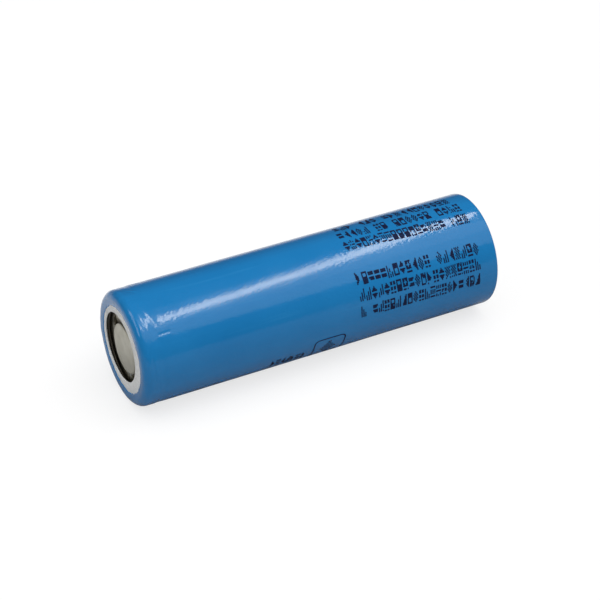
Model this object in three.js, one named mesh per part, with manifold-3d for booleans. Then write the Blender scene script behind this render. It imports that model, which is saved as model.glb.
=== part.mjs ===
// A wound lithium-ion cell of the 21 x 70 format, lying along X with its positive end at -X.
// Lengths are millimetres and the origin is the middle of the cell, on its axis.
//
// The pieces are built in the cell's own frame, where +Y runs from the positive end to the
// negative end. Every height below is a distance from the positive end's outermost face, and
// every radius is measured to the flats of the faceted round surfaces.
import * as THREE from "three";
import { mergeVertices } from "three/addons/utils/BufferGeometryUtils.js";
import Module from "manifold-3d";

const wasm = await Module();
wasm.setup();

// ---- Driving dimensions --------------------------------------------------------------------

const CELL_LENGTH = 70.7;
const CELL_RADIUS = 10.6;
const SIDES = 48; // facets round every turned piece, so that nested pieces share their facets
const FIT = 0.03; // play between two pieces that touch in the real cell

const SLEEVE = {
  wall: 0.15,
  mouth: 7.95, // radius of the opening at the positive end
  tailMouth: 8.7, // radius of the opening at the negative end
  headCorner: 1.6,
  tailCorner: 0.6,
  sag: 0.05, // how far the film sinks into the bead groove
  sagHalfWidth: 0.75,
};

const WASHER = {
  top: 0.2,
  thickness: 0.2,
  hole: 6.4,
  radius: 8.75,
  shiftY: 0.3, // it lies a little off the axis under the film
  holeShiftY: 0.8, // its hole is punched further off still
  holeShiftZ: 0.05,
};

const CAN = {
  wall: 0.3,
  radius: CELL_RADIUS - SLEEVE.wall - FIT,
  top: 0.45,
  bottom: CELL_LENGTH - SLEEVE.wall - FIT,
  lip: 7.6, // inner radius of the crimped lip
  crimpCorner: 1.4,
  baseCorner: 0.42,
  baseFace: 8.0, // radius of the stamped contact face, which stands a little proud of its rim
  baseRim: 8.3,
  baseProud: 0.06,
  bead: 3.63, // height of the middle of the bead groove
  beadFloor: 8.95, // radius at the bottom of the groove
  beadRound: 0.7,
  beadEdge: 0.4,
};

const GASKET = {
  lip: 7.2,
  lowerLip: 8.15,
  lipThickness: 0.22,
  wall: 0.5,
  chamfer: 0.1,
};

const CAP = {
  thickness: 0.3,
  top: 0.6, // flat contact face
  disc: 4.5,
  edgeRound: 0.15,
  foot: 6.35, // radius where the legs meet the flange
  flange: 9.3,
  legs: 3,
  legDirection: 14, // degrees from +Y towards +Z
  windowAngle: 94,
  windowInner: 4.6,
  windowOuter: 6.45,
};

const VENT = {
  sheet: 0.2,
  foldInner: 8.6,
  dishOuter: 6.0,
  dishInner: 4.0,
  dishDrop: 0.66,
  nub: 0.9,
  nubRun: 0.4,
  nubDrop: 0.22,
  score: 3.35,
  scoreHalfWidth: 0.15,
  scoreDepth: 0.1,
  lean: 0.06, // shifts the lower face so that the slopes keep their thickness
};

const PLATE = {
  radius: 7.6,
  thickness: 0.3,
  holes: 6,
  hole: 0.8,
  holeCircle: 4.6,
};

const SPACER = { inner: 6.4, outer: 7.95 };

const ROLL = {
  core: 2.0,
  radius: 9.85,
  turns: 9,
  stepsPerTurn: 20,
  film: 0.045,
  top: 5.6,
  bottom: 68.6,
  anodeMargin: 0.6, // how far the separators stand past the anode
  cathodeMargin: 1.0,
};

const PIN = { outer: 1.7, inner: 1.45, margin: 0.9 };

const INSULATOR = { thickness: 0.3, hole: 1.9, radius: 9.9, upper: 4.75, lower: 69.0 };
const FILL_HOLES = { count: 4, radius: 0.9, circle: 7.0 };

const TAB = {
  width: 4.0,
  slotPlay: 0.3,
  bend: 0.25,
  cathode: 0.12, // thickness
  anode: 0.15,
  cathodeX: 4.9,
  anodeX: 9.4,
};

// The cathode tab's run above its insulator: across, round a fold, and back to its weld.
const CATHODE_RUN = {
  clear: 0.35,
  rise: 0.2,
  foldEnd: -2.95,
  foldRun: 0.35,
  foldHalf: 0.25,
  weldFrom: -1.2,
  weldTo: 1.8,
};

// The anode tab's run below its insulator: inwards, then down to its weld on the base.
const ANODE_RUN = { clear: 0.3, fall: 0.1, dropFrom: 3.4, weldFrom: 2.2, weldTo: -2.4 };

const TAB_TAPE = { thickness: 0.07, length: 0.5 };

const TAPE = { inner: 9.92, thickness: 0.08, from: 40, to: 150, steps: 12, margin: 2.5 };

// ---- Heights worked out from the stack under the crimp -------------------------------------

const gasketTop = CAN.top + CAN.wall + FIT;
const foldTop = gasketTop + GASKET.lipThickness + FIT;
const flangeTop = foldTop + VENT.sheet + FIT;
const sheetTop = flangeTop + CAP.thickness + FIT;
const sheetBottom = sheetTop + VENT.sheet;
const gasketBottom = CAN.bead - CAN.beadRound - CAN.wall - FIT;
const dishTop = sheetTop + VENT.dishDrop;
const nubBottom = dishTop + VENT.nubDrop + VENT.sheet;
const plateTop = nubBottom + FIT;
const plateBottom = plateTop + PLATE.thickness;
const gasketOuter = CAN.radius - CAN.wall - FIT;
const ventOuter = gasketOuter - GASKET.wall - FIT;

// ---- Geometry helpers ----------------------------------------------------------------------

const radians = THREE.MathUtils.degToRad;

// Points along an arc about (r, h), from one angle to another in degrees.
function arc(r, h, size, from, to, steps) {
  const points = [];
  for (let i = 0; i <= steps; i += 1) {
    const angle = radians(from + ((to - from) * i) / steps);
    points.push([r + size * Math.cos(angle), h + size * Math.sin(angle)]);
  }
  return points;
}

// Twice the area that a profile encloses, positive when it runs anticlockwise.
function turningSense(points) {
  return points.reduce((sum, [r, h], i) => {
    const [nextR, nextH] = points[(i + 1) % points.length];
    return sum + r * nextH - nextR * h;
  }, 0);
}

// A turned piece from its [radius, height] profile. The profile either starts and ends on the
// axis or is a ring, which is closed here.
function turned(profile) {
  const loop = profile[0][0] === 0 ? [...profile] : [...profile, profile[0]];
  if (turningSense(profile) < 0) loop.reverse();
  const reach = 1 / Math.cos(Math.PI / SIDES);
  const points = loop.map(([r, h]) => new THREE.Vector2(r * reach, h));
  return new THREE.LatheGeometry(points, SIDES, Math.PI / SIDES);
}

// A washer-like piece between two radii and two heights.
function ring(inner, outer, top, bottom) {
  const profile = [
    [inner, top],
    [outer, top],
    [outer, bottom],
    [inner, bottom],
  ];
  return turned(profile);
}

// A flat outline, in the cell's cross-section, stretched along the cell between two heights,
// with an optional hole. The outline's second axis is the cell's -z.
function stretched(outline, top, bottom, hole = null) {
  const shape = new THREE.Shape(outline.map(([x, y]) => new THREE.Vector2(x, y)));
  if (hole) shape.holes.push(new THREE.Path(hole.map(([x, y]) => new THREE.Vector2(x, y))));
  const options = { depth: bottom - top, bevelEnabled: false, steps: 1 };
  const geometry = new THREE.ExtrudeGeometry(shape, options);
  geometry.rotateX(-Math.PI / 2);
  geometry.translate(0, top, 0);
  return geometry;
}

// A bent metal strip that follows [x, height] points and is centred on z = 0.
function strip(path, thickness, width) {
  const side = (sign) =>
    path.map(([x, h], i) => {
      const before = path[Math.max(i - 1, 0)];
      const after = path[Math.min(i + 1, path.length - 1)];
      const run = new THREE.Vector2(after[0] - before[0], after[1] - before[1]).normalize();
      const half = (sign * thickness) / 2;
      return new THREE.Vector2(x - run.y * half, h + run.x * half);
    });
  const shape = new THREE.Shape([...side(-1), ...side(1).reverse()]);
  const geometry = new THREE.ExtrudeGeometry(shape, {
    depth: width,
    bevelEnabled: false,
    steps: 1,
  });
  geometry.translate(0, 0, -width / 2);
  return geometry;
}

// An outline that covers part of a ring between two angles in degrees.
function sector(inner, outer, from, to, steps) {
  return [...arc(0, 0, outer, from, to, steps), ...arc(0, 0, inner, to, from, steps)];
}

function toSolid(geometry) {
  const bare = geometry.index ? geometry.toNonIndexed() : geometry.clone();
  bare.deleteAttribute("normal");
  bare.deleteAttribute("uv");
  const merged = mergeVertices(bare, 1e-3);
  return new wasm.Manifold(
    new wasm.Mesh({
      numProp: 3,
      vertProperties: merged.attributes.position.array,
      triVerts: new Uint32Array(merged.index.array),
    }),
  );
}

function toGeometry(solid) {
  const mesh = solid.getMesh();
  const geometry = new THREE.BufferGeometry();
  geometry.setAttribute("position", new THREE.BufferAttribute(mesh.vertProperties, 3));
  geometry.setIndex(new THREE.BufferAttribute(mesh.triVerts, 1));
  geometry.computeVertexNormals();
  return geometry;
}

// The body with every cutter taken out of it.
function cut(body, cutters) {
  const left = cutters.reduce((solid, cutter) => solid.subtract(toSolid(cutter)), toSolid(body));
  return toGeometry(left);
}

// Round cutters spaced evenly on a circle, through everything between two heights.
function roundHoles(count, radius, circle, top, bottom) {
  const holes = [];
  for (let i = 0; i < count; i += 1) {
    const angle = (2 * Math.PI * i) / count;
    const hole = new THREE.CylinderGeometry(radius, radius, bottom - top + 1, 12);
    const x = circle * Math.cos(angle);
    const z = circle * Math.sin(angle);
    hole.translate(x, (top + bottom) / 2, z);
    holes.push(hole);
  }
  return holes;
}

function block(width, height, depth, x, h, z) {
  const geometry = new THREE.BoxGeometry(width, height, depth);
  geometry.translate(x, h, z);
  return geometry;
}

// ---- Outer pieces --------------------------------------------------------------------------

// The heat-shrunk film at a given depth below its outer surface, from mouth to mouth.
function sleeveLine(depth) {
  const wall = CELL_RADIUS - depth;
  const head = SLEEVE.headCorner;
  const tail = SLEEVE.tailCorner;
  const dip = [-1, -0.5, 0, 0.5, 1].map((t) => [
    wall - (SLEEVE.sag * (1 + Math.cos(Math.PI * t))) / 2,
    CAN.bead + SLEEVE.sagHalfWidth * t,
  ]);
  return [
    [SLEEVE.mouth, depth],
    ...arc(CELL_RADIUS - head, head, head - depth, -90, 0, 5),
    ...dip,
    ...arc(CELL_RADIUS - tail, CELL_LENGTH - tail, tail - depth, 0, 90, 3),
    [SLEEVE.tailMouth, CELL_LENGTH - depth],
  ];
}

function makeSleeve() {
  return turned([...sleeveLine(0), ...sleeveLine(SLEEVE.wall).reverse()]);
}

// A board washer whose hole isn't quite in its middle.
function makeWasher() {
  const lastStep = 360 - 360 / SIDES;
  const outer = arc(-WASHER.shiftY, 0, WASHER.radius, 0, lastStep, SIDES - 1);
  const hole = arc(-WASHER.holeShiftY, -WASHER.holeShiftZ, WASHER.hole, 0, lastStep, SIDES - 1);
  return stretched(outer, WASHER.top, WASHER.top + WASHER.thickness, hole);
}

// The deep-drawn can at a given depth below its outer surface, from the lip to the base.
function canLine(depth) {
  const wall = CAN.radius - depth;
  const crimp = CAN.crimpCorner;
  const edge = CAN.beadEdge;
  const halfGroove = CAN.beadRound + edge;
  const base = CAN.baseCorner;
  const rim = CAN.bottom - CAN.baseProud;
  return [
    [CAN.lip, CAN.top + depth],
    ...arc(CAN.radius - crimp, CAN.top + crimp, crimp - depth, -90, 0, 4),
    ...arc(CAN.radius - edge, CAN.bead - halfGroove, edge - depth, 0, 90, 2),
    ...arc(CAN.beadFloor + CAN.beadRound, CAN.bead, CAN.beadRound + depth, -90, -270, 4),
    ...arc(CAN.radius - edge, CAN.bead + halfGroove, edge - depth, -90, 0, 2),
    [wall, CAN.bead + halfGroove + edge],
    ...arc(CAN.radius - base, rim - base, base - depth, 0, 90, 2),
    [CAN.baseRim, rim - depth],
    [CAN.baseFace, CAN.bottom - depth],
    [0, CAN.bottom - depth],
  ];
}

function makeCan() {
  return turned([...canLine(CAN.wall).reverse(), ...canLine(0)]);
}

// ---- Closure -------------------------------------------------------------------------------

// The ring that seals the closure against the can: a lip above and a lip below the stack.
function makeGasket() {
  const corner = CAN.crimpCorner - CAN.wall - FIT;
  const { chamfer } = GASKET;
  const inner = gasketOuter - GASKET.wall;
  return turned([
    [GASKET.lip, gasketTop],
    ...arc(gasketOuter - corner, gasketTop + corner, corner, -90, 0, 4),
    [gasketOuter, gasketBottom - chamfer],
    [gasketOuter - chamfer, gasketBottom],
    [GASKET.lowerLip, gasketBottom],
    [GASKET.lowerLip, sheetBottom + FIT],
    [inner, sheetBottom + FIT],
    [inner, gasketTop + GASKET.lipThickness],
    [GASKET.lip, gasketTop + GASKET.lipThickness],
  ]);
}

// The pressed terminal: a flat disc on sloping legs, with an open window between two legs.
function makeCap() {
  const t = CAP.thickness;
  const round = CAP.edgeRound;
  const slopeShift = t / 3; // keeps the sloping wall about as thick as the flat ones
  const body = turned([
    [0, CAP.top],
    ...arc(CAP.disc - round, CAP.top + round, round, -90, -20, 3),
    [CAP.foot, flangeTop],
    [CAP.flange, flangeTop],
    [CAP.flange, flangeTop + t],
    [CAP.foot - slopeShift, flangeTop + t],
    [CAP.disc - slopeShift, CAP.top + t],
    [0, CAP.top + t],
  ]);
  const pitch = 360 / CAP.legs;
  const windows = [];
  for (let i = 0; i < CAP.legs; i += 1) {
    // The cell's frame has -X where the part's frame has +Y.
    const middle = 180 + CAP.legDirection + pitch * (i + 0.5);
    const from = middle - CAP.windowAngle / 2;
    const to = from + CAP.windowAngle;
    const outline = sector(CAP.windowInner, CAP.windowOuter, from, to, 8);
    windows.push(stretched(outline, CAP.top - t, flangeTop + 2 * t));
  }
  return cut(body, windows);
}

// The safety vent: a dished, scored sheet whose rim folds over the terminal's flange. Its nub
// carries the current to the plate below until pressure lifts the dish off.
function makeVent() {
  const t = VENT.sheet;
  const { lean } = VENT;
  const nubEdge = VENT.nub + VENT.nubRun;
  return turned([
    [0, dishTop + VENT.nubDrop],
    [VENT.nub, dishTop + VENT.nubDrop],
    [nubEdge, dishTop],
    [VENT.dishInner, dishTop],
    [VENT.dishOuter, sheetTop],
    [CAP.flange + FIT, sheetTop],
    [CAP.flange + FIT, foldTop + t],
    [VENT.foldInner, foldTop + t],
    [VENT.foldInner, foldTop],
    [ventOuter, foldTop],
    [ventOuter, sheetBottom],
    [VENT.dishOuter + lean, sheetBottom],
    [VENT.dishInner + lean, dishTop + t],
    [VENT.score + VENT.scoreHalfWidth, dishTop + t],
    [VENT.score, dishTop + t - VENT.scoreDepth],
    [VENT.score - VENT.scoreHalfWidth, dishTop + t],
    [nubEdge + lean, dishTop + t],
    [VENT.nub + lean, nubBottom],
    [0, nubBottom],
  ]);
}

// The plastic spacer that keeps the plate off the vent everywhere but at the nub.
function makeSpacer() {
  const drip = 2 * FIT;
  return turned([
    [SPACER.inner, sheetBottom + FIT],
    [SPACER.outer, sheetBottom + FIT],
    [SPACER.outer, plateBottom],
    [PLATE.radius + drip, plateBottom],
    [PLATE.radius + drip, plateTop - FIT],
    [SPACER.inner, plateTop - FIT],
  ]);
}

function makePlate() {
  const body = turned([
    [0, plateTop],
    [PLATE.radius, plateTop],
    [PLATE.radius, plateBottom],
    [0, plateBottom],
  ]);
  return cut(body, roundHoles(PLATE.holes, PLATE.hole, PLATE.holeCircle, plateTop, plateBottom));
}

// ---- Winding -------------------------------------------------------------------------------

const rollPitch = (ROLL.radius - ROLL.core) / (ROLL.turns + 1);
const rollGap = rollPitch / 30;
const electrode = rollPitch / 2 - ROLL.film - 2 * rollGap;

// One strip of the roll: a spiral of the given thickness that starts `offset` outside the core.
function wound(offset, thickness, margin) {
  const steps = ROLL.turns * ROLL.stepsPerTurn;
  const inner = [];
  const outer = [];
  for (let i = 0; i <= steps; i += 1) {
    const turn = i / ROLL.stepsPerTurn;
    const angle = 2 * Math.PI * turn;
    const radius = ROLL.core + offset + rollPitch * turn;
    inner.push([radius * Math.cos(angle), radius * Math.sin(angle)]);
    const outside = radius + thickness;
    outer.push([outside * Math.cos(angle), outside * Math.sin(angle)]);
  }
  return stretched([...outer, ...inner.reverse()], ROLL.top + margin, ROLL.bottom - margin);
}

function makeTape() {
  const outline = sector(TAPE.inner, TAPE.inner + TAPE.thickness, TAPE.from, TAPE.to, TAPE.steps);
  return stretched(outline, ROLL.top + TAPE.margin, ROLL.bottom - TAPE.margin);
}

// ---- Insulators and tabs -------------------------------------------------------------------

// The upper disc has a slot for the cathode tab and holes that let electrolyte and gas through.
function makeUpperInsulator() {
  const top = INSULATOR.upper;
  const bottom = top + INSULATOR.thickness;
  const slotWidth = 2 * TAB.slotPlay + TAB.cathode;
  const slotLength = TAB.width + 2 * TAB.slotPlay;
  const slot = block(slotWidth, 4 * INSULATOR.thickness, slotLength, TAB.cathodeX, top, 0);
  const holes = roundHoles(FILL_HOLES.count, FILL_HOLES.radius, FILL_HOLES.circle, top, bottom);
  holes.forEach((hole) => hole.rotateY(Math.PI / FILL_HOLES.count));
  return cut(ring(INSULATOR.hole, INSULATOR.radius, top, bottom), [slot, ...holes]);
}

// The lower disc has a notch in its edge where the anode tab passes.
function makeLowerInsulator() {
  const top = INSULATOR.lower;
  const notchDepth = 2 * (INSULATOR.radius - TAB.anodeX + TAB.anode + TAB.slotPlay);
  const notchWidth = TAB.width + 2 * TAB.slotPlay;
  const notch = block(notchDepth, 4 * INSULATOR.thickness, notchWidth, INSULATOR.radius, top, 0);
  return cut(ring(INSULATOR.hole, INSULATOR.radius, top, top + INSULATOR.thickness), [notch]);
}

// Up from the roll, across the cell, and folded back under the plate.
function makeCathodeTab() {
  const weld = plateBottom + 2 * FIT + TAB.cathode / 2;
  const { rise, foldEnd, foldRun, foldHalf } = CATHODE_RUN;
  const across = INSULATOR.upper - CATHODE_RUN.clear;
  const x = TAB.cathodeX;
  const path = [
    [x, ROLL.top - 2 * FIT],
    [x, across + rise],
    [x - TAB.bend, across],
    [foldEnd + foldRun, across - rise],
    [foldEnd, across - rise - foldHalf],
    [foldEnd + foldRun, across - rise - 2 * foldHalf],
    [CATHODE_RUN.weldFrom, weld],
    [CATHODE_RUN.weldTo, weld],
  ];
  return strip(path, TAB.cathode, TAB.width);
}

// Down past the lower insulator, then inwards to the middle of the can's base.
function makeAnodeTab() {
  const weld = CAN.bottom - CAN.wall - 2 * FIT - TAB.anode / 2;
  const under = INSULATOR.lower + INSULATOR.thickness + ANODE_RUN.clear;
  const x = TAB.anodeX;
  const path = [
    [x, ROLL.bottom + 3 * FIT],
    [x, under - TAB.bend],
    [x - TAB.bend, under],
    [ANODE_RUN.dropFrom, under + ANODE_RUN.fall],
    [ANODE_RUN.weldFrom, weld],
    [ANODE_RUN.weldTo, weld],
  ];
  return strip(path, TAB.anode, TAB.width);
}

// The corners of a rectangle about (x, 0) in the cell's cross-section.
function rectangle(x, halfX, halfY) {
  return [
    [x - halfX, -halfY],
    [x + halfX, -halfY],
    [x + halfX, halfY],
    [x - halfX, halfY],
  ];
}

// Insulating tape wrapped once round a tab where it passes an insulating disc.
function makeTabTape(x, tabThickness, top) {
  const halfX = tabThickness / 2 + FIT;
  const halfY = TAB.width / 2 + FIT;
  const outline = rectangle(x, halfX + TAB_TAPE.thickness, halfY + TAB_TAPE.thickness);
  return stretched(outline, top, top + TAB_TAPE.length, rectangle(x, halfX, halfY));
}

// ---- Assembly ------------------------------------------------------------------------------

const cell = new THREE.Group();
cell.rotation.z = -Math.PI / 2;
cell.position.x = -CELL_LENGTH / 2;

function add(name, geometry, color, roughness, metalness) {
  const material = new THREE.MeshStandardMaterial({ color, roughness, metalness });
  const mesh = new THREE.Mesh(geometry, material);
  mesh.name = name;
  cell.add(mesh);
}

add("sleeve", makeSleeve(), 0x2767a0, 0.3, 0);
add("insulating_washer", makeWasher(), 0xd8d4cc, 0.8, 0);
add("can", makeCan(), 0xb9b8b4, 0.3, 1);

add("gasket", makeGasket(), 0x1b1b1d, 0.6, 0);
add("positive_cap", makeCap(), 0xa8a59c, 0.35, 1);
add("safety_vent", makeVent(), 0xc9cbcd, 0.35, 1);
add("vent_spacer", makeSpacer(), 0xe6e3da, 0.6, 0);
add("contact_plate", makePlate(), 0xc4c6c8, 0.4, 1);

const filmInner = electrode + rollGap;
const cathodeStart = filmInner + ROLL.film + rollGap;
const filmOuter = cathodeStart + electrode + rollGap;
add("anode", wound(0, electrode, ROLL.anodeMargin), 0x2b2b2e, 0.8, 0);
add("separator_inner", wound(filmInner, ROLL.film, 0), 0xf1f1ee, 0.5, 0);
add("cathode", wound(cathodeStart, electrode, ROLL.cathodeMargin), 0x1d1d1f, 0.7, 0);
add("separator_outer", wound(filmOuter, ROLL.film, 0), 0xf1f1ee, 0.5, 0);
add("closing_tape", makeTape(), 0xcda04a, 0.4, 0);
add(
  "centre_pin",
  ring(PIN.inner, PIN.outer, ROLL.top + PIN.margin, ROLL.bottom - PIN.margin),
  0xa6a6a8,
  0.4,
  1,
);

add("upper_insulator", makeUpperInsulator(), 0x9fae9a, 0.7, 0);
add("lower_insulator", makeLowerInsulator(), 0x9fae9a, 0.7, 0);
add("cathode_tab", makeCathodeTab(), 0xcfd1d3, 0.35, 1);
add("anode_tab", makeAnodeTab(), 0xb0aca2, 0.35, 1);
const cathodeTapeTop = INSULATOR.upper - FIT;
add("cathode_tab_tape", makeTabTape(TAB.cathodeX, TAB.cathode, cathodeTapeTop), 0xcda04a, 0.4, 0);
const anodeTapeTop = ROLL.bottom + 5 * FIT;
add("anode_tab_tape", makeTabTape(TAB.anodeX, TAB.anode, anodeTapeTop), 0xcda04a, 0.4, 0);

const part = new THREE.Group();
part.add(cell);

export default part;
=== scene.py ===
import math

import bpy
import numpy as np
from mathutils import Matrix, Vector


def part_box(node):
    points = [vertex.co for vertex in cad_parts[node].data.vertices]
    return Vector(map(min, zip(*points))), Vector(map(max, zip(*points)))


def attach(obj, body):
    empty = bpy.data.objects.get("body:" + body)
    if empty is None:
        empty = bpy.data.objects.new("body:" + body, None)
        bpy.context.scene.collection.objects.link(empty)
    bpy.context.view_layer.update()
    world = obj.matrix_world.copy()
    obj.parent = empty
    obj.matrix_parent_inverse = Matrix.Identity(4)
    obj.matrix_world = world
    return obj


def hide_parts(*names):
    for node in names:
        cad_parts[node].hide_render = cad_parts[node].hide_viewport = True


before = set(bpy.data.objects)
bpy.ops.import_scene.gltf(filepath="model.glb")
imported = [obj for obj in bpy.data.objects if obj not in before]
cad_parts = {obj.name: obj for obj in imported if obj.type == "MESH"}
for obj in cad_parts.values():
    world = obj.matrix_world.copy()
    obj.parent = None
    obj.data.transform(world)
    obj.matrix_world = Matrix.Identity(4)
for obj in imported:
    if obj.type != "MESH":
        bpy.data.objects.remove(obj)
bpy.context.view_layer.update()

MM = 0.001
rng = np.random.default_rng(2170)

# ---- Places and sizes taken from the frame --------------------------------------------------

sleeve_low, sleeve_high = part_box("sleeve")
HEAD_X = sleeve_low.x / MM
LENGTH = (sleeve_high.x - sleeve_low.x) / MM
RADIUS = (sleeve_high.z - sleeve_low.z) / 2 / MM
FLOOR_Z = sleeve_low.z


def span(node):
    """Heights where a CAD node begins and ends."""
    low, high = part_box(node)
    return low.x / MM - HEAD_X, high.x / MM - HEAD_X


def reach(node):
    """Largest radius of a round CAD node, from its box."""
    low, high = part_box(node)
    return (high.z - low.z) / 2 / MM


WASHER_TOP, WASHER_BOTTOM = span("insulating_washer")
CAN_TOP, CAN_BOTTOM = span("can")
CAP_TOP, _ = span("positive_cap")
CAN_RADIUS = reach("can")
CAP_FLANGE = reach("positive_cap")

# Dimensions the boxes can't give, as in the CAD model.
MOUTH = 7.95  # radius of the film's opening at the positive end
TAIL_MOUTH = 8.7
HEAD_CORNER = 1.6
TAIL_CORNER = 0.6
BEAD = 3.63
CAN_WALL = 0.3
CAN_LIP = 7.6
CAN_CRIMP_CORNER = 1.4
CAN_BASE_CORNER = 0.42
BEAD_FLOOR = 8.95
BEAD_ROUND = 0.7
BEAD_EDGE = 0.4
BASE_PROUD = 0.06  # how far the base's contact face stands out of its rim
WASHER_HOLE = 6.4
WASHER_HOLE_SHIFT = (0.8, 0.05)  # along Y and Z
GASKET_LIP = 7.2
GASKET_LOWER_LIP = 8.15
GASKET_LIP_THICKNESS = 0.22
GASKET_WALL = 0.5
GASKET_CHAMFER = 0.1
CAP_THICKNESS = 0.3
CAP_DISC = 4.5
CAP_FOOT = 6.35
CAP_FLANGE_TOP = 1.26
LEGS = 3
LEG_DIRECTION = 14.0
WINDOW_ANGLE = 94.0
WINDOW_INNER = 4.6
WINDOW_OUTER = 6.45

# ---- Mesh helpers ---------------------------------------------------------------------------


def place(height, radius, angle):
    """Points in metres from heights and radii in millimetres and angles in radians."""
    height, radius, angle = np.broadcast_arrays(height, radius, angle)
    x = (height + HEAD_X) * MM
    return np.stack([x, radius * np.cos(angle) * MM, radius * np.sin(angle) * MM], axis=-1)


def new_piece(name, vertices, faces, smooth=True):
    """A mesh object in the scene, with vertices in metres."""
    mesh = bpy.data.meshes.new(name)
    mesh.from_pydata([tuple(map(float, v)) for v in vertices], [], faces)
    mesh.update()
    mesh.polygons.foreach_set("use_smooth", [smooth] * len(mesh.polygons))
    piece = bpy.data.objects.new(name, mesh)
    bpy.context.scene.collection.objects.link(piece)
    return piece


def arc(height, radius, size, start, end, steps):
    """(height, radius) points of an arc. Angle 0 points outwards, 90 along the cell."""
    angles = np.radians(np.linspace(start, end, steps + 1))
    return [(height + size * math.sin(a), radius + size * math.cos(a)) for a in angles]


def line(start, end, steps):
    """Evenly spaced points from start to end, both included."""
    return [tuple(p) for p in np.linspace(start, end, steps + 1)]


def ring_faces(rows, sides):
    """Faces of a closed ring whose vertices come in rows, each with the same number of sides."""
    faces = []
    for i in range(rows):
        below = ((i + 1) % rows) * sides
        for j in range(sides):
            k = (j + 1) % sides
            faces.append((i * sides + j, i * sides + k, below + k, below + j))
    return faces


def lathe(name, profile, sides=192, keep=None):
    """A turned piece. A profile that touches the axis at both ends makes a closed solid; any
    other profile is closed into a ring, unless keep is given, which makes an open sheet."""
    angles = np.linspace(0, 2 * np.pi, sides, endpoint=False)
    vertices, rows = [], []
    for height, radius in profile:
        start = len(vertices)
        if radius == 0:
            vertices.extend(place([height], [0.0], [0.0]))
            rows.append([start] * sides)
        else:
            vertices.extend(place(height, radius, angles))
            rows.append(list(range(start, start + sides)))
    ring = keep is None and profile[0][1] > 0
    faces = []
    for i in range(len(rows) if ring else len(rows) - 1):
        below = rows[(i + 1) % len(rows)]
        for j in range(sides):
            if keep and not keep(profile[i], profile[i + 1], angles[j]):
                continue
            k = (j + 1) % sides
            corners = [rows[i][j], rows[i][k], below[k], below[j]]
            faces.append(tuple(dict.fromkeys(corners)))
    return new_piece(name, vertices, faces)


def add_modifier(piece, kind, **settings):
    modifier = piece.modifiers.new(kind.title(), kind)
    for key, value in settings.items():
        setattr(modifier, key, value)
    return modifier


# ---- Materials ------------------------------------------------------------------------------


def color_mix(tree, factor, first, second):
    """A colour between two, each a colour or a socket."""
    node = tree.nodes.new("ShaderNodeMix")
    node.data_type = "RGBA"
    tree.links.new(factor, node.inputs["Factor"])
    for key, value in (("A", first), ("B", second)):
        socket = next(s for s in node.inputs if s.name == key and s.type == "RGBA")
        if isinstance(value, tuple):
            socket.default_value = (*value, 1.0)
        else:
            tree.links.new(value, socket)
    return next(s for s in node.outputs if s.type == "RGBA")


class Finish:
    """A procedural material: textures read the object's own coordinates, in metres."""

    def __init__(self, name, roughness=0.5, metallic=0.0, specular=0.5):
        self.material = bpy.data.materials.new(name)
        self.material.use_nodes = True
        self.tree = self.material.node_tree
        self.shader = self.tree.nodes["Principled BSDF"]
        self.shader.inputs["Roughness"].default_value = roughness
        self.shader.inputs["Metallic"].default_value = metallic
        self.shader.inputs["Specular IOR Level"].default_value = specular
        self.place = self.tree.nodes.new("ShaderNodeTexCoord").outputs["Object"]

    def link(self, source, target):
        self.tree.links.new(source, target)

    def noise(self, scale, detail=2.0, stretch=None, distortion=0.0):
        """Noise with features about 1/scale metres across, stretched along an axis if asked."""
        vector = self.place
        if stretch:
            mapping = self.tree.nodes.new("ShaderNodeMapping")
            mapping.inputs["Scale"].default_value = stretch
            self.link(vector, mapping.inputs["Vector"])
            vector = mapping.outputs["Vector"]
        node = self.tree.nodes.new("ShaderNodeTexNoise")
        node.inputs["Scale"].default_value = scale
        node.inputs["Detail"].default_value = detail
        node.inputs["Distortion"].default_value = distortion
        self.link(vector, node.inputs["Vector"])
        return node.outputs["Fac"]

    def axis(self, name):
        """One coordinate of the object, in metres."""
        node = self.tree.nodes.new("ShaderNodeSeparateXYZ")
        self.link(self.place, node.inputs["Vector"])
        return node.outputs[name]

    def math(self, operation, a, b=None):
        """Output of a math node, with each operand a number or a socket."""
        node = self.tree.nodes.new("ShaderNodeMath")
        node.operation = operation
        for socket, value in zip(node.inputs, (a, b)):
            if isinstance(value, (int, float)):
                socket.default_value = value
            elif value is not None:
                self.link(value, socket)
        return node.outputs["Value"]

    def radius(self):
        """Distance from the cell's axis, in metres."""
        y = self.math("POWER", self.axis("Y"), 2.0)
        z = self.math("POWER", self.axis("Z"), 2.0)
        return self.math("SQRT", self.math("ADD", y, z))

    def ranged(self, value, from_low, from_high, to_low, to_high):
        """The value mapped from one range to another and held inside it."""
        node = self.tree.nodes.new("ShaderNodeMapRange")
        for key, number in zip(
            ("From Min", "From Max", "To Min", "To Max"), (from_low, from_high, to_low, to_high)
        ):
            node.inputs[key].default_value = number
        self.link(value, node.inputs["Value"])
        return node.outputs["Result"]

    def blend(self, factor, first, second):
        return color_mix(self.tree, factor, first, second)

    def color(self, socket):
        self.link(socket, self.shader.inputs["Base Color"])
        return self

    def rough(self, socket):
        self.link(socket, self.shader.inputs["Roughness"])
        return self

    def bump(self, *layers):
        """Layers of (height socket, depth in millimetres), stacked."""
        normal = None
        for height, depth in layers:
            node = self.tree.nodes.new("ShaderNodeBump")
            node.inputs["Strength"].default_value = 1.0
            node.inputs["Distance"].default_value = depth * MM
            self.link(height, node.inputs["Height"])
            if normal:
                self.link(normal, node.inputs["Normal"])
            normal = node.outputs["Normal"]
        self.link(normal, self.shader.inputs["Normal"])
        return self


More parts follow.
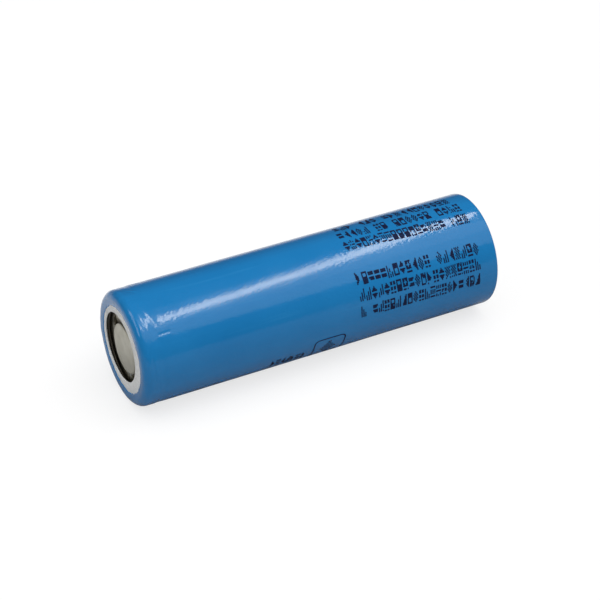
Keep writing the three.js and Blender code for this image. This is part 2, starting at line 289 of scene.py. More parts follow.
def film_finish():
    """Glossy blue shrink film: orange peel, faint clouding, fine rub marks and painted shade
    towards its edges.
    """
    deep_blue, light_blue = (0.0085, 0.155, 0.39), (0.0115, 0.172, 0.42)
    rubbed_blue, grazing_shade_blue = (0.03, 0.22, 0.47), (0.003, 0.06, 0.19)
    f = Finish("film_blue", specular=0.36)
    clouds = f.ranged(f.noise(70, 3.0), 0.3, 0.7, 0.0, 1.0)
    base = f.blend(clouds, deep_blue, light_blue)
    rubs = f.ranged(f.noise(900, 4.0, stretch=(0.06, 1.0, 1.0)), 0.6, 0.78, 0.0, 0.25)
    rubbed = f.blend(rubs, base, rubbed_blue)
    # Painted shade: the colour deepens where the film is seen at a low angle, towards its edges,
    # where light that meets it is mostly mirrored.
    slope = f.tree.nodes.new("ShaderNodeLayerWeight")
    slope.inputs["Blend"].default_value = 0.5
    edge = f.ranged(slope.outputs["Facing"], 0.45, 0.85, 0.0, 0.5)
    f.color(f.blend(edge, rubbed, grazing_shade_blue))
    f.rough(f.ranged(f.noise(240, 4.0), 0.3, 0.75, 0.1, 0.16))
    return f.bump(
        (f.noise(420, 2.0), 0.006),
        (f.noise(1700, 0.0), 0.013),
        (f.noise(2900, 0.0), 0.008),
    ).material


def ink_finish():
    """Matt blue-black ink."""
    f = Finish("ink_dark", roughness=0.6, specular=0.1)
    f.color(f.blend(f.noise(2600, 2.0), (0.004, 0.007, 0.03), (0.007, 0.014, 0.05)))
    return f.bump((f.noise(9000, 2.0), 0.002)).material


def board_finish():
    """Pressed fibre board: off-white with short fibres."""
    f = Finish("washer_board", roughness=0.85, specular=0.3)
    fibres = f.noise(2600, 5.0, stretch=(1.0, 0.35, 1.0), distortion=1.5)
    base = f.blend(f.ranged(fibres, 0.35, 0.65, 0.0, 1.0), (0.62, 0.63, 0.62), (0.76, 0.77, 0.77))
    dirt = f.ranged(f.noise(420, 4.0), 0.58, 0.75, 0.0, 0.35)
    f.color(f.blend(dirt, base, (0.5, 0.48, 0.43)))
    return f.bump((fibres, 0.012), (f.noise(9000, 2.0), 0.004)).material


def plated_finish(name, low, high, roughness=0.34, rings=False):
    """Nickel plated sheet: soft clouding, fine drawing lines or rings, and small scuffs."""
    f = Finish(name, roughness=roughness, metallic=1.0)
    clouds = f.ranged(f.noise(330, 4.0), 0.3, 0.7, 0.0, 1.0)
    base = f.blend(clouds, low, high)
    grain = f.noise(5200, 3.0)
    if rings:
        fine_ring, broad_ring = 0.31 * MM, 1.37 * MM  # widths of the drawing marks
        f.color(base)
        f.rough(f.ranged(f.noise(120, 1.0), 0.3, 0.75, roughness - 0.03, roughness + 0.03))
        fine = f.math("SINE", f.math("MULTIPLY", f.radius(), 2 * math.pi / fine_ring))
        broad = f.math("SINE", f.math("MULTIPLY", f.radius(), 2 * math.pi / broad_ring))
        return f.bump((grain, 0.0005), (fine, 0.0012), (broad, 0.004)).material
    scuffed = tuple(0.72 * c for c in low)
    scuffs = f.ranged(f.noise(1500, 5.0, stretch=(1.0, 1.0, 0.2)), 0.62, 0.8, 0.0, 0.5)
    f.color(f.blend(scuffs, base, scuffed))
    f.rough(f.ranged(f.noise(700, 4.0), 0.3, 0.75, roughness - 0.07, roughness + 0.1))
    lines = f.noise(5200, 3.0, stretch=(1.0, 0.08, 1.0))
    return f.bump((grain, 0.0016), (lines, 0.0014)).material


def plain_finish(name, low, high, roughness, metallic=0.0, grain=2400, depth=0.004, stretch=None):
    """A two-tone material with its own grain, for the pieces inside the can."""
    f = Finish(name, roughness=roughness, metallic=metallic)
    texture = f.noise(grain, 4.0, stretch=stretch)
    f.color(f.blend(f.ranged(texture, 0.3, 0.7, 0.0, 1.0), low, high))
    f.rough(f.ranged(f.noise(grain / 4, 3.0), 0.3, 0.7, roughness - 0.08, roughness + 0.08))
    return f.bump((texture, depth)).material


def assign(piece, material):
    piece.data.materials.clear()
    piece.data.materials.append(material)


# ---- Shrink film ----------------------------------------------------------------------------


def waves(count, longest, shortest):
    """Seeded sine waves over (height, arc length): rows of two wave numbers and a phase."""
    turns = rng.uniform(0, 2 * np.pi, count)
    lengths = np.exp(rng.uniform(np.log(shortest), np.log(longest), count))
    number = 2 * np.pi / lengths
    around = np.round(number * np.sin(turns) * RADIUS)  # whole waves round the cell
    return np.stack([number * np.cos(turns), around, rng.uniform(0, 2 * np.pi, count)], axis=1)


def rolling(table, height, angle):
    """Sum of waves, about -1 to 1."""
    total = sum(np.sin(a * height + b * angle + c) for a, b, c in table)
    return total / math.sqrt(len(table))


def creases_near_head(count):
    """Pinch marks where the film shrank over the bead: (height, degrees) ends, width, rise. The
    listed ones break the streak of light, and count more are scattered round the rest. One with
    a negative rise is a valley."""
    marks = [
        ((2.9, 116.5), (3.9, 133.0), 0.25, 0.02),
        ((4.4, 126.0), (5.9, 128.5), 0.35, 0.013),
        ((5.9, 121.0), (7.8, 125.5), 0.35, 0.01),
        ((4.2, 138.5), (5.9, 138.1), 0.22, -0.07),
        ((1.25, 129.0), (0.9, 106.0), 0.11, 0.034),
        ((1.95, 130.0), (1.65, 108.0), 0.12, 0.026),
    ]
    for _ in range(count):
        height = rng.uniform(1.6, 4.6)
        degrees = rng.uniform(150, 455)
        run = rng.uniform(-1.2, 1.6)
        turn = rng.uniform(4, 15)
        width = rng.uniform(0.12, 0.25)
        rise = rng.uniform(0.015, 0.045)
        marks.append(((height, degrees), (height + run, degrees + turn), width, rise))
    return marks


# The film's nominal surface lies INSET inside the cell's envelope and rises LIFT at most, which
# leaves room for the ink inside the envelope. It is a little thinner than the CAD sleeve, which
# keeps its nominal inside clear of the can.
FILM = 0.13
INSET = 0.045
LIFT = 0.03

# Every crease has a shallow trough along one side and fades out past its ends.
TROUGH_DEPTH = 0.45  # share of the crease's rise
TROUGH_OFFSET = 1.7  # this and the next are shares of its width
END_FADE = 1.6

SAG = 0.05  # how far the film sinks into the bead groove
SAG_HALF_WIDTH = 1.15
DRIFT = 0.007  # rise of the slow waves all along the cell
RIPPLE = 0.011  # rise of the ripples near the head, which fade over HEAD_REACH
HEAD_REACH = 6.5

FACE_DISH = 0.05  # fall of the folded face towards its opening
EDGE_TUCK, EDGE_TUCK_RUN = 0.09, 0.2  # the cut edge bends down this far over this run
PLEAT_DEPTH = 0.018
HEAD_WANDER, TAIL_WANDER = 0.07, 0.09  # how far the cut edges stray from a circle
FACE_ROWS, SHOULDER_ROWS, TAIL_CORNER_ROWS, TAIL_FACE_ROWS = 12, 26, 9, 6
FINE_END, FINE_STEP, COARSE_ROWS = 11.0, 0.14, 41  # the wall's rows are closest near the head
INNER_HEAD_STEP, INNER_WALL_STEP = 3, 6  # rows of the inside, counted in rows of the outside
BOARD_REACH = 8.75  # radius up to which the folded face lies on the washer
BOARD_DIP = 0.005  # how far the fold's underside may press into it

SLOW = waves(9, 26.0, 9.0)
MIDDLE = waves(14, 6.0, 1.8)
PLEATS = waves(10, 5.0, 0.9)
MARKS = creases_near_head(26)


def mark_relief(height, angle):
    """Rise in millimetres of every crease at a point of the film."""
    total = np.zeros(np.broadcast(height, angle).shape)
    for (h0, d0), (h1, d1), width, rise in MARKS:
        a0, a1 = math.radians(d0), math.radians(d1)
        turned = angle + 2 * np.pi * np.round(((a0 + a1) / 2 - angle) / (2 * np.pi))
        x, y = height - h0, (turned - a0) * RADIUS
        dx, dy = h1 - h0, (a1 - a0) * RADIUS
        length = math.hypot(dx, dy)
        along = (x * dx + y * dy) / length
        off = (y * dx - x * dy) / length
        past = np.maximum(np.maximum(-along, along - length), 0.0)
        crest = np.exp(-((off / width) ** 2))
        trough = np.exp(-(((off - TROUGH_OFFSET * width) / width) ** 2))
        fade = np.exp(-((past / (END_FADE * width)) ** 2))
        total = total + rise * (crest - TROUGH_DEPTH * trough) * fade
    return total


def film_relief(height, angle):
    """How far the film stands out of its ideal shape, in millimetres."""
    head = np.exp(-((height / HEAD_REACH) ** 2))
    groove = np.clip(np.abs(height - BEAD) / SAG_HALF_WIDTH, 0, 1)
    uneven = 1 + 0.3 * np.sin(3 * angle + 1.0)
    sag = -SAG / 2 * (1 + np.cos(np.pi * groove)) * uneven
    drift = DRIFT * rolling(SLOW, height, angle)
    ripple = RIPPLE * head * rolling(MIDDLE, height, angle)
    relief = sag + drift + ripple + mark_relief(height, angle)
    rise = np.maximum(relief, 0.0)
    return np.minimum(relief, 0.0) + LIFT * np.tanh(rise / LIFT) - INSET


def film_path():
    """Rows of (height, radius, normal along, normal out) on the film's outside."""
    rows = []
    corner = RADIUS - HEAD_CORNER
    cut_edge = MOUTH + np.array([0, 0.03, 0.08, 0.15])
    face = np.linspace(MOUTH + 0.25, corner, FACE_ROWS - len(cut_edge), endpoint=False)
    for radius in np.concatenate([cut_edge, face]):
        fall = FACE_DISH * ((corner - radius) / (corner - MOUTH)) ** 2
        fall += EDGE_TUCK * max(0.0, 1 - (radius - MOUTH) / EDGE_TUCK_RUN) ** 2
        rows.append((fall, radius, -1.0, 0.0))
    for a in np.radians(np.linspace(-90, 0, SHOULDER_ROWS)):
        height = HEAD_CORNER * (1 + math.sin(a))
        rows.append((height, corner + HEAD_CORNER * math.cos(a), math.sin(a), math.cos(a)))
    fine = np.arange(HEAD_CORNER + FINE_STEP, FINE_END, FINE_STEP)
    coarse = np.linspace(FINE_END, LENGTH - TAIL_CORNER, COARSE_ROWS, endpoint=False)
    rows += [(height, RADIUS, 0.0, 1.0) for height in np.concatenate([fine, coarse])]
    corner = RADIUS - TAIL_CORNER
    for a in np.radians(np.linspace(0, 90, TAIL_CORNER_ROWS)):
        height = LENGTH - TAIL_CORNER * (1 - math.sin(a))
        rows.append((height, corner + TAIL_CORNER * math.cos(a), math.sin(a), math.cos(a)))
    for radius in np.linspace(corner, TAIL_MOUTH, TAIL_FACE_ROWS + 1)[1:]:
        rows.append((LENGTH, radius, 1.0, 0.0))
    return np.array(rows)


def fold_share(radius, corner, mouth):
    """0 where a folded face leaves the film's corner, 1 at its cut edge."""
    start = RADIUS - corner
    return np.clip((start - radius) / (start - mouth), 0, 1)


def make_film():
    """The sleeve, an outside with its relief and an inside FILM below it."""
    sides = 384
    angles = np.linspace(0, 2 * np.pi, sides, endpoint=False)[None, :]
    path = film_path()
    height, radius, along, out = (path[:, i : i + 1] for i in range(4))
    at_head = (along < -0.5) & (radius < RADIUS - HEAD_CORNER + 0.01)
    at_tail = along > 0.5
    # The cut edges of the film aren't quite round, and the folds carry fine pleats.
    fold = fold_share(radius, HEAD_CORNER, MOUTH)
    pleat = PLEAT_DEPTH * fold * rolling(PLEATS, 0.0, angles)
    relief = np.where(at_tail, 0.0, film_relief(height, angles))
    relief = np.where(at_head, -INSET - np.abs(pleat), relief)
    edge = np.where(at_head, HEAD_WANDER * fold * rolling(PLEATS[:4], 0.0, angles), 0.0)
    tail_fold = fold_share(radius, TAIL_CORNER, TAIL_MOUTH)
    tail_edge = TAIL_WANDER * tail_fold * rolling(PLEATS[3:8], 0.0, angles)
    edge = edge + np.where(at_tail, tail_edge, 0.0)
    outer_height = height + along * relief
    outer_radius = radius + out * relief + edge

    wall = FACE_ROWS + SHOULDER_ROWS
    tail = len(path) - TAIL_CORNER_ROWS - TAIL_FACE_ROWS
    inner_rows = np.r_[
        0:wall:INNER_HEAD_STEP,
        wall : tail - 1 : INNER_WALL_STEP,
        tail : len(path),
    ]
    inner_height = (outer_height - along * FILM)[inner_rows]
    inner_radius = (outer_radius - out * FILM)[inner_rows]
    over_board = (inner_height < 1) & (outer_radius[inner_rows] < BOARD_REACH)
    lowest = np.minimum(inner_height, WASHER_TOP + BOARD_DIP)
    inner_height = np.where(over_board, lowest, inner_height)

    all_height = np.concatenate([outer_height, inner_height[::-1]])
    all_radius = np.concatenate([outer_radius, inner_radius[::-1]])
    vertices = place(all_height, all_radius, angles).reshape(-1, 3)
    return new_piece("film_sleeve", vertices, ring_faces(len(all_height), sides))


# ---- Printed marks --------------------------------------------------------------------------

# Dot patterns that stand for a date and batch code. None of them is a letter or a digit: they
# are bars, blocks, triangles and lattices.
PATTERNS = [
    "..#.. .#.#. #.#.# .#.#. #.#.# .#.#. ..#..",
    "....# ....# ..#.# ..#.# #.#.# #.#.# #.#.#",
    "#.... #.... #.#.. #.#.. #.#.# #.#.# #.#.#",
    "##### #...# #...# ##### ##### ##### #####",
    "##### ##### ##### #...# #...# #...# #####",
    "....# ...## ...## ..### ..### .#### #####",
    "#.#.# #.#.# ..... ##### ..... #.#.# #.#.#",
    "##### ..... #.#.# #.#.# #.#.# ..... #####",
    "#.... ##... ###.. ####. ###.. ##... #....",
    "....# ...## ..### .#### ..### ...## ....#",
    "..#.. .###. ##### ..... ##### .###. ..#..",
    "##.## ##.## ..... ##.## ##.## ..... ##.##",
    "##### ##.## #...# ##.## ##### ..... #####",
    "#.#.# .#.#. #.#.# .#.#. #.#.# .#.#. #.#.#",
    "..... ##### ##### ..... ##### ##### .....",
]
GLYPH_ROWS, GLYPH_COLUMNS = 7, 5
GLYPH_HEIGHT = 2.25
GLYPH_FILL = 0.8  # share of its cell that a glyph takes along the line
GLYPH_SLIP = 0.05
DOT_JITTER = 0.008
DOT_MISSING = 0.03  # chance that a dot isn't printed
DOT_SIDES = 8
DOT_HALF_ALONG, DOT_HALF_AROUND = 0.14, 0.21
INK_LIFT = 0.012


def ink_dots(name, dots):
    """One piece of flat raised dots: (height, arc length in mm, half along, half around)."""
    turn = np.linspace(0, 2 * np.pi, DOT_SIDES, endpoint=False)
    vertices, faces = [], []
    for height, around, half_along, half_around in dots:
        h = height + half_along * np.cos(turn)
        a = (around + half_around * np.sin(turn)) / RADIUS
        surface = RADIUS + film_relief(h, a)
        start = len(vertices)
        vertices.extend(place(h, surface - INK_LIFT, a))
        vertices.extend(place(h, surface + INK_LIFT, a))
        low = list(range(start, start + DOT_SIDES))
        high = list(range(start + DOT_SIDES, start + 2 * DOT_SIDES))
        faces.append(tuple(high))
        faces.append(tuple(reversed(low)))
        for i in range(DOT_SIDES):
            j = (i + 1) % DOT_SIDES
            faces.append((low[i], low[j], high[j], high[i]))
    return new_piece(name, vertices, faces, smooth=False)


def code_line(start, end, cells, gaps):
    """Dots of one printed line between two (height, degrees) places on the film. The cells
    listed in gaps stay empty."""
    dots = []
    step = (np.array(end) - np.array(start)) / cells
    pitch_along = step[0] * GLYPH_FILL / GLYPH_COLUMNS
    pitch_around = GLYPH_HEIGHT / GLYPH_ROWS
    for cell in range(cells):
        pattern = PATTERNS[rng.integers(len(PATTERNS))].split()
        slip = rng.normal(0, GLYPH_SLIP)
        if cell in gaps:
            continue
        height, degrees = np.array(start) + step * (cell + 0.5)
        for row, text in enumerate(pattern):
            for column, sign in enumerate(text):
                if sign != "#" or rng.random() < DOT_MISSING:
                    continue
                off_along = (column - GLYPH_COLUMNS // 2) * pitch_along
                off_around = (row - GLYPH_ROWS // 2) * pitch_around
                h = height + off_along + rng.normal(0, DOT_JITTER)
                around = math.radians(degrees) * RADIUS + off_around + slip
                size = rng.uniform(0.9, 1.04)
                dots.append((h, around, DOT_HALF_ALONG * size, DOT_HALF_AROUND * size))
    return dots


def outline_dots(low, high, corner, pitch=0.17):
    """Dots along a rounded rectangle between two (height, arc length in mm) corners."""
    corner_points = 7
    inner_low = np.array(low) + corner
    inner_high = np.array(high) - corner
    corners = [
        (inner_high[0], inner_high[1], 0),
        (inner_low[0], inner_high[1], 90),
        (inner_low[0], inner_low[1], 180),
        (inner_high[0], inner_low[1], 270),
    ]
    points = []
    for x, y, start in corners:
        for a in np.radians(np.linspace(start, start + 90, corner_points)):
            points.append((x + corner * math.cos(a), y + corner * math.sin(a)))
    points.append(points[0])
    points = np.array(points)
    lengths = np.concatenate([[0], np.cumsum(np.linalg.norm(np.diff(points, axis=0), axis=1))])
    stops = np.arange(0, lengths[-1], pitch)
    x = np.interp(stops, lengths, points[:, 0])
    y = np.interp(stops, lengths, points[:, 1])
    return [(a, b, DOT_HALF_ALONG, DOT_HALF_ALONG) for a, b in zip(x, y)]


def diamond_dots(centre, low, half_width=1.5, pitch_along=0.36, pitch_around=0.5):
    """Dots that fill a diamond, in rows from low upwards in arc length."""
    rows, narrowing = 9, 0.33
    half_along, half_around = 0.15, 0.2
    dots = []
    for row in range(rows):
        half = half_width - narrowing * abs(row - rows // 2)
        for h in np.arange(-half, half + 0.01, pitch_along):
            dots.append((centre + h, low + pitch_around * row, half_along, half_around))
    return dots


def make_print():
    """Two three-line code blocks and a framed mark lower down."""
    upper = code_line((43.4, 72.0), (66.8, 79.0), 19, (3, 7))
    upper += code_line((42.8, 88.0), (67.6, 95.5), 20, (5, 8, 15))
    upper += code_line((42.5, 104.0), (67.6, 112.0), 21, (17,))
    lower = code_line((41.9, 141.0), (67.2, 145.0), 20, (12,))
    lower += code_line((41.9, 157.5), (67.0, 160.5), 20, ())
    lower += code_line((41.9, 174.5), (66.8, 176.5), 21, (1,))
    frame_start, frame_end = 33.0, 39.1
    frame_low = math.radians(195.0) * RADIUS
    frame_height, frame_corner = 6.8, 0.9
    badge = outline_dots(
        (frame_start, frame_low), (frame_end, frame_low + frame_height), frame_corner
    )
    badge += diamond_dots((frame_start + frame_end) / 2, frame_low + 1.0)
    badge += code_line((24.6, 212.0), (31.4, 213.0), 7, ())
    return [
        ink_dots("print_upper", upper),
        ink_dots("print_lower", lower),
        ink_dots("print_badge", badge),
    ]


# ---- Metal and board pieces -----------------------------------------------------------------


def can_line(depth):
    """The can at a depth below its outside, from the crimped lip to the middle of the base."""
    crimp, edge, base = CAN_CRIMP_CORNER, BEAD_EDGE, CAN_BASE_CORNER
    rim = CAN_BOTTOM - BASE_PROUD
    half = BEAD_ROUND + BEAD_EDGE
    wall_middle = 20.0
    step_soft = 0.01  # the stamped step of the base is softened by this much
    base_rim, step_start, step_end, base_face = 8.34, 8.26, 8.06, 7.97
    face_middle = 2.0
    return [
        (CAN_TOP + depth, CAN_LIP),
        *arc(CAN_TOP + crimp, CAN_RADIUS - crimp, crimp - depth, -90, 0, 10),
        *arc(BEAD - half, CAN_RADIUS - edge, edge - depth, 0, 90, 5),
        *arc(BEAD, BEAD_FLOOR + BEAD_ROUND, BEAD_ROUND + depth, -90, -270, 12),
        *arc(BEAD + half, CAN_RADIUS - edge, edge - depth, -90, 0, 5),
        (wall_middle, CAN_RADIUS - depth),
        *arc(rim - base, CAN_RADIUS - base, base - depth, 0, 90, 6),
        (rim - depth, base_rim),
        (rim + step_soft - depth, step_start),
        (CAN_BOTTOM - step_soft - depth, step_end),
        (CAN_BOTTOM - depth, base_face),
        (CAN_BOTTOM - depth, face_middle),
        (CAN_BOTTOM - depth, 0),
    ]


def make_can():
    """The can as one drawn shell, its inside CAN_WALL below its outside."""
    return lathe("can_shell", [*reversed(can_line(CAN_WALL)), *can_line(0)])


def make_cap():
    """The pressed terminal: one sheet with a window between each two legs, thickened."""
    bend = 0.2
    sheet_share = 0.9  # a little thinner than the CAD sheet
    edge_round = 0.035
    slope = math.degrees(math.atan2(CAP_FLANGE_TOP - CAP_TOP, CAP_FOOT - CAP_DISC + bend))
    profile = [
        (CAP_TOP, 0),
        (CAP_TOP, 2.0),
        (CAP_TOP, 3.8),
        *arc(CAP_TOP + bend, CAP_DISC - bend, bend, -90, slope - 90, 6),
        (CAP_TOP + 0.08, WINDOW_INNER - 0.03),
        (CAP_TOP + 0.12, WINDOW_INNER + 0.03),
        *line((CAP_TOP + 0.2, 5.0), (CAP_FLANGE_TOP - 0.12, CAP_FOOT - 0.3), 2),
        *arc(CAP_FLANGE_TOP - bend, CAP_FOOT, bend, 90 + slope, 90, 5)[1:],
        (CAP_FLANGE_TOP, WINDOW_OUTER),
        (CAP_FLANGE_TOP, WINDOW_OUTER + 0.06),
        (CAP_FLANGE_TOP, CAP_FLANGE - 0.05),
    ]

    def keep(first, second, angle):
        degrees = math.degrees(angle) - LEG_DIRECTION
        off = abs((degrees % (360 / LEGS)) - 180 / LEGS)
        middle = (first[1] + second[1]) / 2
        in_window = off < WINDOW_ANGLE / 2 and WINDOW_INNER < middle < WINDOW_OUTER + 0.01
        return not in_window

    cap = lathe("cap_disc", profile, sides=288, keep=keep)
    add_modifier(cap, "SOLIDIFY", thickness=CAP_THICKNESS * MM * sheet_share, offset=-1.0)
    bevel = add_modifier(cap, "BEVEL", width=edge_round * MM, segments=2, limit_method="ANGLE")
    bevel.angle_limit = math.radians(50)
    return cap


def make_washer():
    """The board washer, soft at its edges, with a slightly ragged hole that is off centre."""
    low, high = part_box("insulating_washer")
    outer = reach("insulating_washer")
    centre = (low.y + high.y) / 2 / MM
    sides, soft = 192, 0.05
    angles = np.linspace(0, 2 * np.pi, sides, endpoint=False)
    top, bottom = WASHER_TOP, WASHER_BOTTOM
    # Each row is a height and the share of the way from the hole to the outer edge.
    rows = [
        (top + soft, 0.0),
        (top, 0.02),
        (top, 0.35),
        (top, 0.98),
        (top + soft, 1.0),
        (bottom - soft, 1.0),
        (bottom, 0.98),
        (bottom, 0.02),
        (bottom - soft, 0.0),
    ]
    ragged = 0.012 * rolling(PLEATS, 0.0, angles)
    vertices = []
    for height, share in rows:
        y = WASHER_HOLE_SHIFT[0] + (WASHER_HOLE + ragged) * np.cos(angles)
        z = WASHER_HOLE_SHIFT[1] + (WASHER_HOLE + ragged) * np.sin(angles)
        y = y + share * (centre + outer * np.cos(angles) - y)
        z = z + share * (outer * np.sin(angles) - z)
        x = (height + HEAD_X) * np.ones(sides)
        vertices.extend(np.stack([x, y, z], axis=-1) * MM)
    return new_piece("washer_board", vertices, ring_faces(len(rows), sides))


def make_gasket():
    """The moulded ring between the can's crimp and the closure, with a lip above and below."""
    top, bottom = span("gasket")
    outer = reach("gasket")
    inner = outer - GASKET_WALL
    lip, chamfer, soft = GASKET_LIP_THICKNESS, GASKET_CHAMFER, 0.05
    corner = 1.07
    crimp_start = 8.4
    lower_lip = 0.62  # thickness of the lip under the closure
    profile = [
        (top, GASKET_LIP + soft),
        (top, crimp_start),
        *arc(top + corner, outer - corner, corner, -90, 0, 10),
        (bottom - chamfer, outer),
        (bottom, outer - chamfer),
        (bottom, GASKET_LOWER_LIP + soft),
        (bottom - soft, GASKET_LOWER_LIP),
        (bottom - lower_lip + 0.04, GASKET_LOWER_LIP),
        (bottom - lower_lip, GASKET_LOWER_LIP + soft),
        (bottom - lower_lip, inner),
        (top + lip, inner),
        (top + lip, GASKET_LIP + soft),
        (top + lip - soft, GASKET_LIP),
        (top + soft, GASKET_LIP),
    ]
    return lathe("gasket_ring", profile)


# ---- Build ----------------------------------------------------------------------------------

METAL_LOW, METAL_HIGH = (0.29, 0.277, 0.222), (0.37, 0.355, 0.292)
film_blue = film_finish()
ink = ink_finish()
cap_metal = plated_finish("cap_steel", METAL_LOW, METAL_HIGH, 0.36)
can_metal = plated_finish("can_steel", (0.48, 0.47, 0.44), (0.52, 0.51, 0.48), 0.26, rings=True)

replacements = [
    (make_film(), "sleeve", film_blue, "sleeve_film"),
    (make_washer(), "insulating_washer", board_finish(), "washer_board"),
    (make_can(), "can", can_metal, "nickel_plated_steel"),
    (make_cap(), "positive_cap", cap_metal, "cap_steel"),
    (
        make_gasket(),
        "gasket",
        plain_finish("gasket_black", (0.05, 0.045, 0.032), (0.07, 0.062, 0.045), 0.5),
        "gasket_polymer",
    ),
]
for piece, node, material, slot in replacements:
    assign(piece, material)
    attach(piece, "root")
    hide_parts(node)

for piece in make_print():
    assign(piece, ink)
    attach(piece, "root")

# Darker tone, lighter tone, roughness and, for a metal, metallic.
ALUMINIUM = ((0.62, 0.63, 0.64), (0.74, 0.75, 0.76), 0.36, 1.0)
POROUS = ((0.8, 0.8, 0.77), (0.88, 0.88, 0.86), 0.5)
AMBER = ((0.5, 0.27, 0.05), (0.62, 0.36, 0.08), 0.35)
GLASS = ((0.3, 0.36, 0.28), (0.4, 0.46, 0.37), 0.7)
ROLLED = (1.0, 0.1, 1.0)  # stretch of the grain of rolled sheet
inner_finishes = {
    "safety_vent": plain_finish("vent_sheet", (0.5, 0.47, 0.38), (0.6, 0.57, 0.47), 0.45, 0.5),
    "contact_plate": plain_finish("plate_sheet", *ALUMINIUM, stretch=ROLLED),
    "cathode_tab": plain_finish("tab_sheet", *ALUMINIUM, stretch=ROLLED),
    "anode_tab": plain_finish("nickel_sheet", METAL_LOW, METAL_HIGH, 0.35, 1.0),
    "centre_pin": plain_finish("pin_steel", METAL_LOW, METAL_HIGH, 0.4, 1.0),
    "vent_spacer": plain_finish("spacer_polymer", (0.7, 0.68, 0.62), (0.78, 0.76, 0.7), 0.55),
    "anode": plain_finish("graphite", (0.018, 0.018, 0.02), (0.03, 0.03, 0.034), 0.75),
    "cathode": plain_finish("oxide", (0.01, 0.01, 0.011), (0.02, 0.02, 0.021), 0.6),
    "separator_inner": plain_finish("porous_film", *POROUS),
    "separator_outer": plain_finish("porous_film_b", *POROUS),
    "closing_tape": plain_finish("amber_tape", *AMBER),
    "cathode_tab_tape": plain_finish("amber_tape_b", *AMBER),
    "anode_tab_tape": plain_finish("amber_tape_c", *AMBER),
    "upper_insulator": plain_finish("glass_sheet", *GLASS),
    "lower_insulator": plain_finish("glass_sheet_b", *GLASS),
}
for node, material in inner_finishes.items():
    assign(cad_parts[node], material)

# ---- Stage, light and camera ----------------------------------------------------------------


def make_floor():
    """A plain pale floor that stays white around the cell's soft shadow."""
    size = 6.0
    glow_share = 0.75
    # Brightness that the cell mirrors: dim in front of it, bright behind it, dim far away.
    mean_grey, front_grey, back_grey, far_share = 0.66, 0.36, 0.85, 0.3
    corners = [(-size, -size), (size, -size), (size, size), (-size, size)]
    vertices = [(x, y, FLOOR_Z) for x, y in corners]
    floor = new_piece("floor", vertices, [(0, 1, 2, 3)], smooth=False)
    f = Finish("floor_white", roughness=0.9, specular=0.0)
    f.color(f.blend(f.noise(3.0), (0.9, 0.9, 0.9), (0.915, 0.915, 0.915)))
    # Seen straight on, the floor glows a little, which keeps it white and its shadow light. The
    # cell itself sees a greyer floor.
    glow = f.tree.nodes.new("ShaderNodeEmission")
    grey = f.tree.nodes.new("ShaderNodeBsdfDiffuse")
    path = f.tree.nodes.new("ShaderNodeLightPath")
    behind = f.ranged(f.axis("Y"), -10 * MM, 16 * MM, front_grey, back_grey)
    far = f.ranged(f.axis("Y"), 40 * MM, 200 * MM, 1.0, far_share)
    change = f.math("SUBTRACT", f.math("MULTIPLY", behind, far), mean_grey)
    mirrored = f.math("MULTIPLY", path.outputs["Is Glossy Ray"], change)
    f.link(f.math("ADD", mirrored, mean_grey), grey.inputs["Color"])
    lit = f.tree.nodes.new("ShaderNodeMixShader")
    lit.inputs["Fac"].default_value = glow_share
    f.link(f.shader.outputs["BSDF"], lit.inputs[1])
    f.link(glow.outputs["Emission"], lit.inputs[2])
    choice = f.tree.nodes.new("ShaderNodeMixShader")
    f.link(path.outputs["Is Camera Ray"], choice.inputs["Fac"])
    f.link(grey.outputs["BSDF"], choice.inputs[1])
    f.link(lit.outputs["Shader"], choice.inputs[2])
    f.link(choice.outputs["Shader"], f.tree.nodes["Material Output"].inputs["Surface"])
    assign(floor, f.material)


def soft_light(name, centre, long_side, size, radiance, color=(1, 1, 1), diffuse=True):
    """A rectangular lamp that faces the cell, with its first side along long_side."""
    lamp = bpy.data.lights.new(name, "AREA")
    lamp.color = color
    lamp.shape = "RECTANGLE"
    lamp.size, lamp.size_y = size
    lamp.energy = radiance * math.pi * size[0] * size[1]
    light = bpy.data.objects.new(name, lamp)
    bpy.context.scene.collection.objects.link(light)
    back = Vector(centre).normalized()
    side = Vector(long_side)
    side = (side - side.dot(back) * back).normalized()
    up = back.cross(side)
    turn = Matrix((side, up, back)).transposed().to_4x4()
    light.matrix_world = Matrix.Translation(Vector(centre)) @ turn
    light.visible_camera = False
    light.visible_diffuse = diffuse


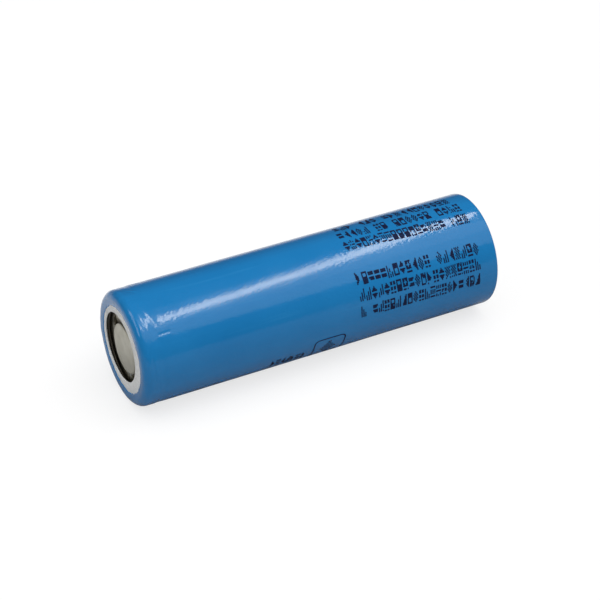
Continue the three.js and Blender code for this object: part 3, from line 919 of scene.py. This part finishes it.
def make_lights():
    """A long strip overhead draws the streak, inside a broad dim softbox."""
    warm = (1.0, 0.93, 0.8)
    slant = (1.0, 1.95, 0)
    soft_light("strip", (0.2, -0.052, 0.5), slant, (0.48, 0.054), 12.5, warm, diffuse=False)
    soft_light("halo", (0.2, -0.1, 0.52), (1, 0.3, 0), (0.7, 0.34), 0.4)
    soft_light("box", (0.2, -0.29, 0.525), (1, 0, 0), (1.1, 0.51), 1.0)
    soft_light("side", (-0.45, 0.01, 0.4), (0.21, 0.855, 0.2), (0.5, 0.16), 3.0)
    # A broad overhead fill, which the cell doesn't mirror.
    fill_from = Vector((0.1, -0.14, 1.0))
    sun = bpy.data.lights.new("fill", "SUN")
    sun.energy = 2.3
    sun.angle = math.radians(80)
    fill = bpy.data.objects.new("fill", sun)
    bpy.context.scene.collection.objects.link(fill)
    fill.rotation_euler = fill_from.to_track_quat("Z", "Y").to_euler()
    fill.visible_glossy = False


def make_world():
    """White to the camera, dim grey to everything the cell mirrors."""
    world = bpy.data.worlds.new("studio")
    world.use_nodes = True
    tree = world.node_tree
    mirrored, seen = (0.07, 0.07, 0.075), (0.95, 0.95, 0.95)
    path = tree.nodes.new("ShaderNodeLightPath")
    color = color_mix(tree, path.outputs["Is Camera Ray"], mirrored, seen)
    tree.links.new(color, tree.nodes["Background"].inputs["Color"])
    bpy.context.scene.world = world


def make_camera():
    """A long lens a short arm's length away, above and in front of the positive end."""
    azimuth, elevation = math.radians(-27.402), math.radians(34.628)
    distance, lens = 0.36921, 122.63
    shift_right, shift_up = -0.2025 * MM, -0.509 * MM
    back = Vector(
        (
            math.sin(azimuth) * math.cos(elevation),
            -math.cos(azimuth) * math.cos(elevation),
            math.sin(elevation),
        )
    )
    right = Vector((math.cos(azimuth), math.sin(azimuth), 0.0))
    up = back.cross(right)
    data = bpy.data.cameras.new("camera")
    data.lens = lens
    data.sensor_width = 36.0
    data.clip_start = 0.01
    camera = bpy.data.objects.new("camera", data)
    bpy.context.scene.collection.objects.link(camera)
    turn = Matrix((right, up, back)).transposed().to_4x4()
    place_at = back * distance + right * shift_right + up * shift_up
    camera.matrix_world = Matrix.Translation(place_at) @ turn
    bpy.context.scene.camera = camera


make_floor()
make_lights()
make_world()
make_camera()
bpy.context.scene.view_settings.view_transform = "Standard"
